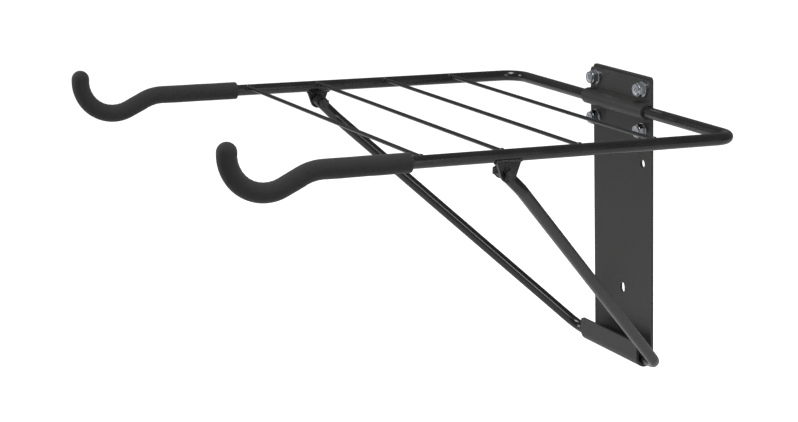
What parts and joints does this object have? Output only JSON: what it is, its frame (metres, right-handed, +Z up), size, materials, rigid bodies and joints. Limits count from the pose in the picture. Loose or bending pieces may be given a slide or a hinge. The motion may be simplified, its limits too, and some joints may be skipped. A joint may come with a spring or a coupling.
{
  "type": "bicycle wall rack",
  "caption": "Folding wall rack: a bent tube frame with foam-covered hooks turns in a clamp on a wall plate, held up by a strut that drops into the plate's hooked edge.",
  "frame": {"origin": "on the wall plane, on the rack's middle line, level with the hinge axis of the frame", "axes": "+Y points into the wall, so the rack reaches out along -Y; +X runs across the rack; +Z is up"},
  "size_m": [0.4604, 0.5393, 0.3331],
  "materials": {
    "gloss_black": "semi-gloss powder coat",
    "satin_black": "satin powder coat",
    "foam": "matte closed-cell foam",
    "zinc": "bright zinc plate",
    "dark_steel": "black oxide",
    "nylon": "satin nylon",
    "black_plastic": "matte moulding"
  },
  "bodies": {
    "wall_bracket": {"wall_plate": "satin_black", "saddle_clamp": "satin_black", "clamp_studs": "zinc", "clamp_washers": "zinc", "clamp_nuts": "zinc", "nut_inserts": "nylon"},
    "frame": {"frame_tube": "gloss_black", "shelf_rod_1": "gloss_black", "shelf_rod_2": "gloss_black", "shelf_rod_3": "gloss_black", "shelf_rod_4": "gloss_black", "ear_right": "gloss_black", "ear_left": "gloss_black", "foam_sleeve_right": "foam", "foam_sleeve_left": "foam", "end_plug_right": "black_plastic", "end_plug_left": "black_plastic", "pivot_bolts": "dark_steel", "pivot_washers": "dark_steel", "pivot_nuts": "dark_steel"},
    "strut": {"strut_tube": "gloss_black", "strut_plug_right": "black_plastic", "strut_plug_left": "black_plastic"}
  },
  "joints": [
    {"name": "frame_fold", "type": "hinge", "parent": "wall_bracket", "child": "frame", "pos_m": [0, -0.00908, 0], "axis": [-1, 0, 0], "range_deg": [0, 14.5]},
    {"name": "strut_swing", "type": "hinge", "parent": "frame", "child": "strut", "pos_m": [0, -0.26061, -0.00472], "axis": [-1, 0, 0], "range_deg": [-13.5, 0]}
  ],
  "couplings": [
    {"joint": "strut_swing", "follows": "frame_fold", "ratio": -0.915}
  ]
}
